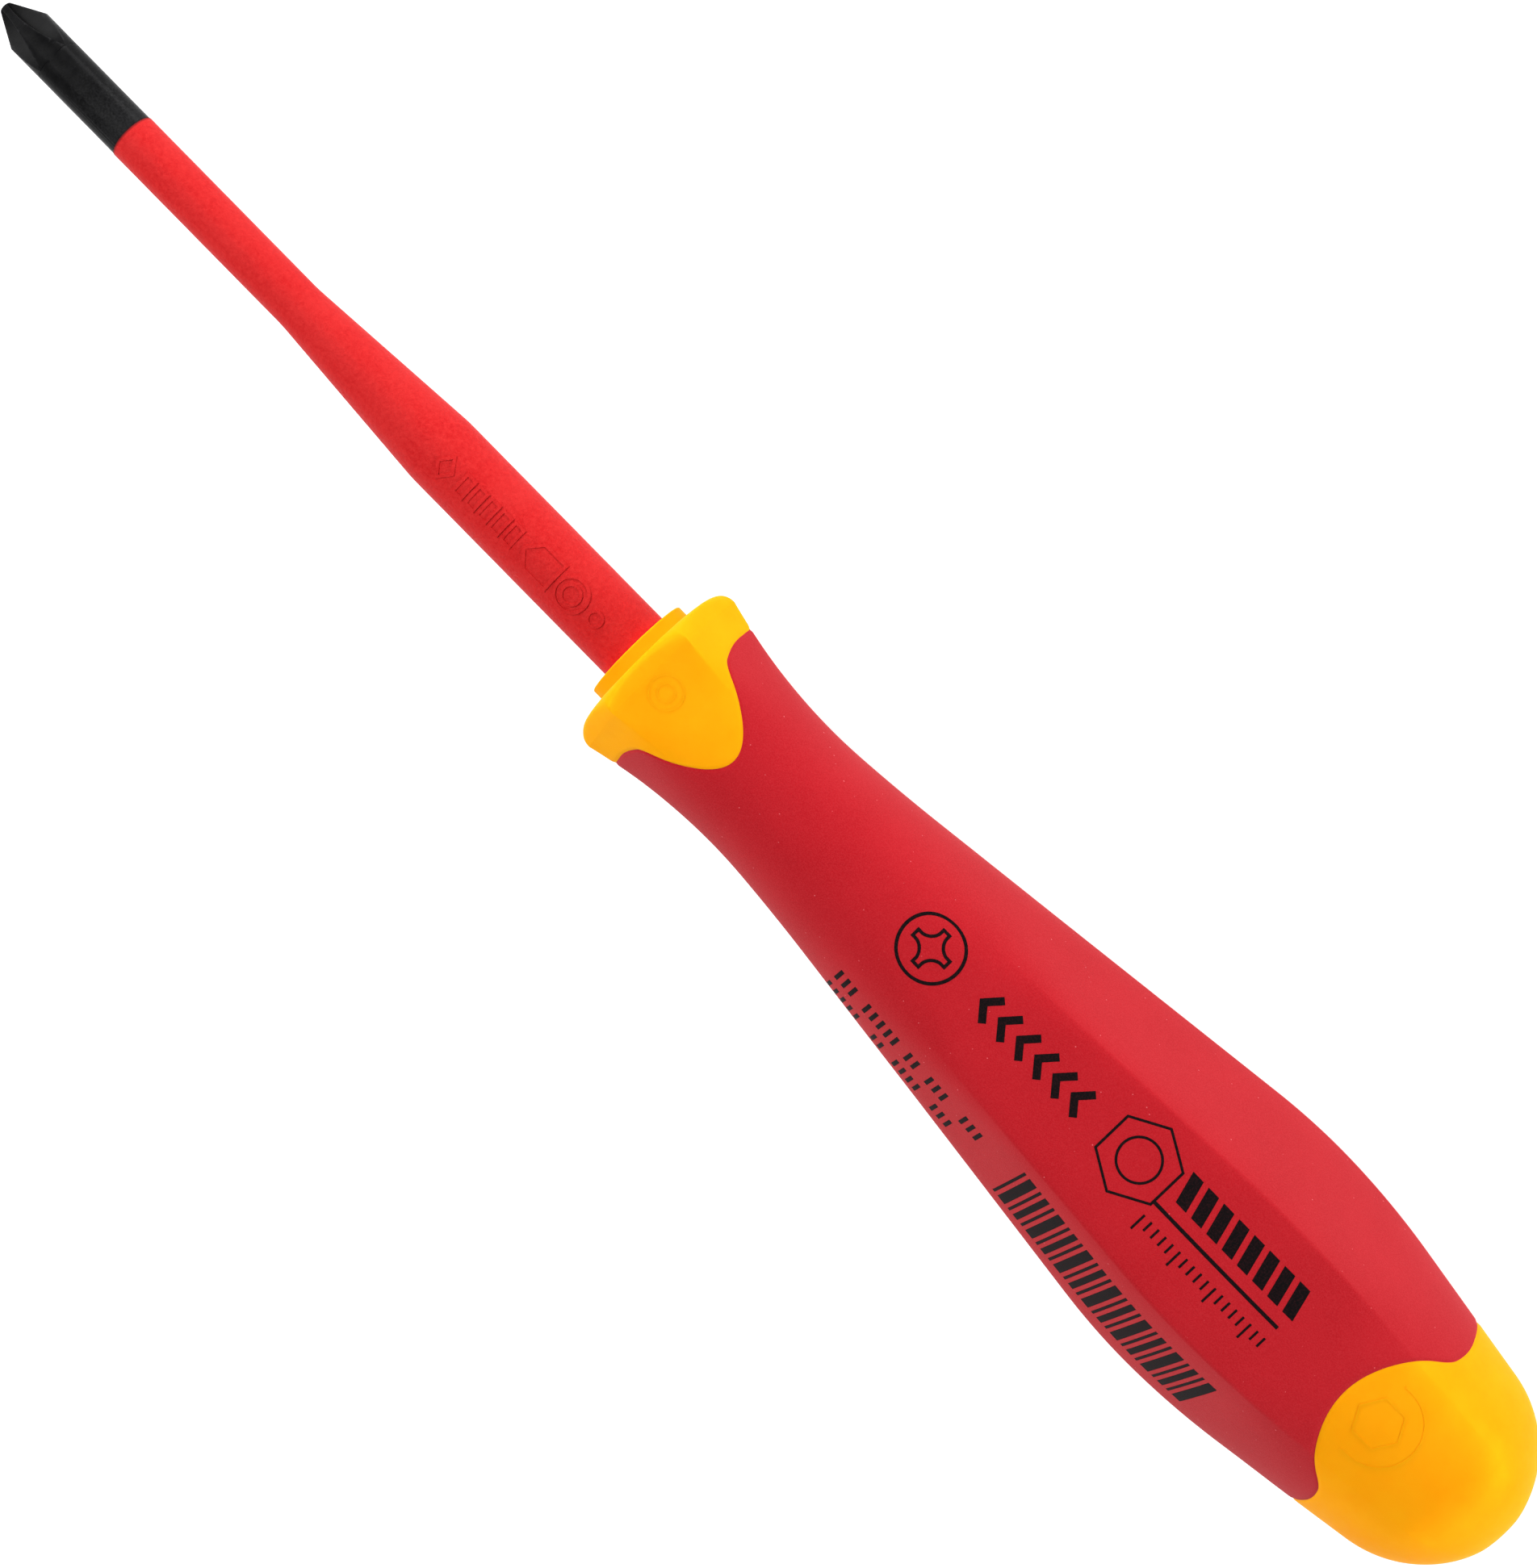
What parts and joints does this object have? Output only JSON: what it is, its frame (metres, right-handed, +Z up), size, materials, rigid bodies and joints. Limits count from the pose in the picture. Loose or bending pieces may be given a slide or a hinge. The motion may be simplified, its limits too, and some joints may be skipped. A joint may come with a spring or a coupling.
{
  "type": "insulated screwdriver",
  "caption": "Straight insulated screwdriver with a cross recess tip, stepped slim sleeve, collar, six-sided petal guard, swelling soft grip and domed end cap.",
  "frame": {"origin": "half way along the tool, straight below its axis, at the height of the lowest handle flat", "axes": "+X along the tool's axis towards the tip, +Z up out of the flat that carries the size print, +Y to the left of a user who looks along +X"},
  "size_m": [0.191, 0.0274, 0.0244],
  "materials": {
    "black_steel": "black oxide, satin",
    "red_sleeve": "moulded, satin matt",
    "yellow_core": "moulded, satin",
    "yellow_guard": "moulded, satin",
    "red_grip": "soft grip, matt",
    "yellow_cap": "moulded, satin gloss"
  },
  "bodies": {
    "root": {"blade": "black_steel", "blade_insulation": "red_sleeve", "handle_core": "yellow_core", "front_guard": "yellow_guard", "grip": "red_grip", "end_cap": "yellow_cap"}
  },
  "joints": []
}
